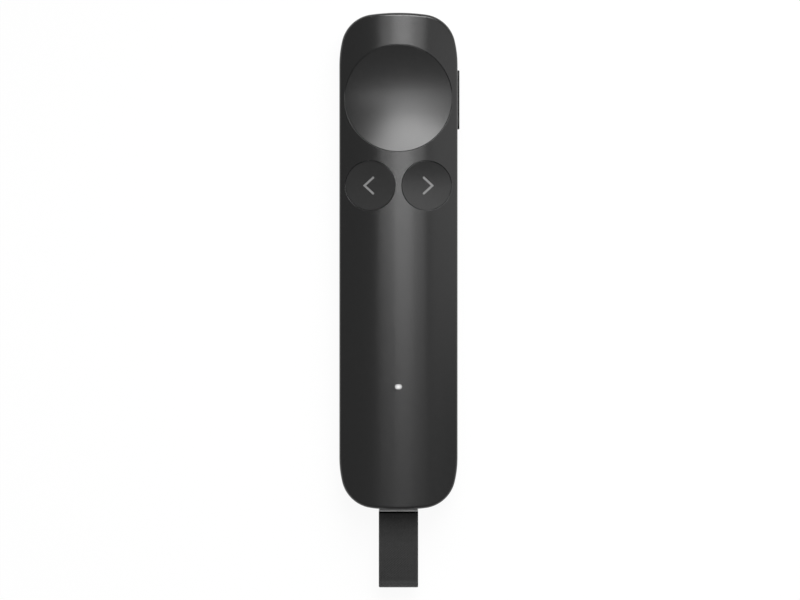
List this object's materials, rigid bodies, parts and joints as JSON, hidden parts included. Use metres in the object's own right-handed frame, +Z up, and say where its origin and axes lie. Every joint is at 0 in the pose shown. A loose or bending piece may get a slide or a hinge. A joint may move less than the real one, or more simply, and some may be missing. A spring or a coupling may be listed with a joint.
{
  "type": "presentation clicker",
  "caption": "Slim hand-held presentation remote with a large dished pointer key, round next and back keys, a side key and a strap that pulls out its receiver.",
  "frame": {"origin": "on the surface that the clicker rests on, under the middle of its case, in the middle of the back pad's underside", "axes": "+Y along the case from the strap end to the nose, +X across it to the side key, +Z up out of the face with the keys"},
  "size_m": [0.0305, 0.1458, 0.014],
  "materials": {
    "case_plastic": "satin dark graphite, very fine texture",
    "pointer_face": "smooth satin dark graphite",
    "key_face": "smooth satin dark graphite",
    "cap_metal": "satin grey end cap",
    "icon_print": "light grey inlay",
    "pad_rubber": "soft matt black elastomer",
    "strap_tape": "fine woven dark grey tape",
    "clear_light_pipe": "milky light guide",
    "circuit_board": "green solder mask",
    "chip_package": "black moulded package",
    "ceramic_part": "tan ceramic",
    "led_package": "pale moulded package",
    "plated_steel": "plated sheet steel",
    "screw_steel": "zinc plated",
    "contact_plastic": "black moulding",
    "plunger_plastic": "dark moulding",
    "cell_foil": "foil pouch",
    "adhesive_tape": "double-sided tape",
    "connector_plastic": "off-white moulding",
    "red_sleeve": "insulation",
    "black_sleeve": "insulation"
  },
  "bodies": {
    "case": {"top_shell": "case_plastic", "bottom_shell": "case_plastic", "back_pad": "pad_rubber", "case_screws": "screw_steel", "board_screws": "screw_steel", "main_board": "circuit_board", "radio_can": "plated_steel", "radio_chip": "chip_package", "motion_sensor": "chip_package", "charger_chip": "chip_package", "crystal": "plated_steel", "antenna": "ceramic_part", "capacitors": "ceramic_part", "status_led": "led_package", "light_pipe": "clear_light_pipe", "charging_port_shell": "plated_steel", "charging_port_tongue": "contact_plastic", "battery": "cell_foil", "battery_tape": "adhesive_tape", "battery_socket": "connector_plastic", "battery_plug": "connector_plastic", "battery_lead_positive": "red_sleeve", "battery_lead_negative": "black_sleeve", "vibration_motor": "plated_steel", "motor_tape": "adhesive_tape", "motor_leads": "red_sleeve", "receiver_sleeve": "contact_plastic", "pointer_switch": "chip_package", "side_switch": "chip_package", "next_switch": "chip_package", "back_switch": "chip_package"},
    "pointer": {"pointer_key": "pointer_face", "pointer_plunger": "plunger_plastic"},
    "next": {"next_key": "key_face", "next_icon": "icon_print", "next_plunger": "plunger_plastic"},
    "back": {"back_key": "key_face", "back_icon": "icon_print", "back_plunger": "plunger_plastic"},
    "side": {"side_key": "case_plastic", "side_plunger": "plunger_plastic"},
    "receiver": {"receiver_housing": "contact_plastic", "receiver_cap": "cap_metal", "receiver_plug_shell": "plated_steel", "receiver_plug_core": "contact_plastic", "receiver_board": "circuit_board", "receiver_chip": "chip_package", "strap": "strap_tape", "strap_pins": "screw_steel"}
  },
  "joints": [
    {"name": "pointer_key_press", "type": "slide", "parent": "case", "child": "pointer", "axis": [0, 0, -1], "range_m": [0, 0.0005], "stiffness_N_per_m": 400, "springref_m": -0.002},
    {"name": "next_key_press", "type": "slide", "parent": "case", "child": "next", "axis": [0, 0, -1], "range_m": [0, 0.0004], "stiffness_N_per_m": 400, "springref_m": -0.002},
    {"name": "back_key_press", "type": "slide", "parent": "case", "child": "back", "axis": [0, 0, -1], "range_m": [0, 0.0004], "stiffness_N_per_m": 400, "springref_m": -0.002},
    {"name": "side_key_press", "type": "slide", "parent": "case", "child": "side", "axis": [-1, 0, 0], "range_m": [0, 0.0003], "stiffness_N_per_m": 400, "springref_m": -0.002},
    {"name": "receiver_pull", "type": "slide", "parent": "case", "child": "receiver", "axis": [0, -1, 0], "range_m": [0, 0.028]}
  ]
}
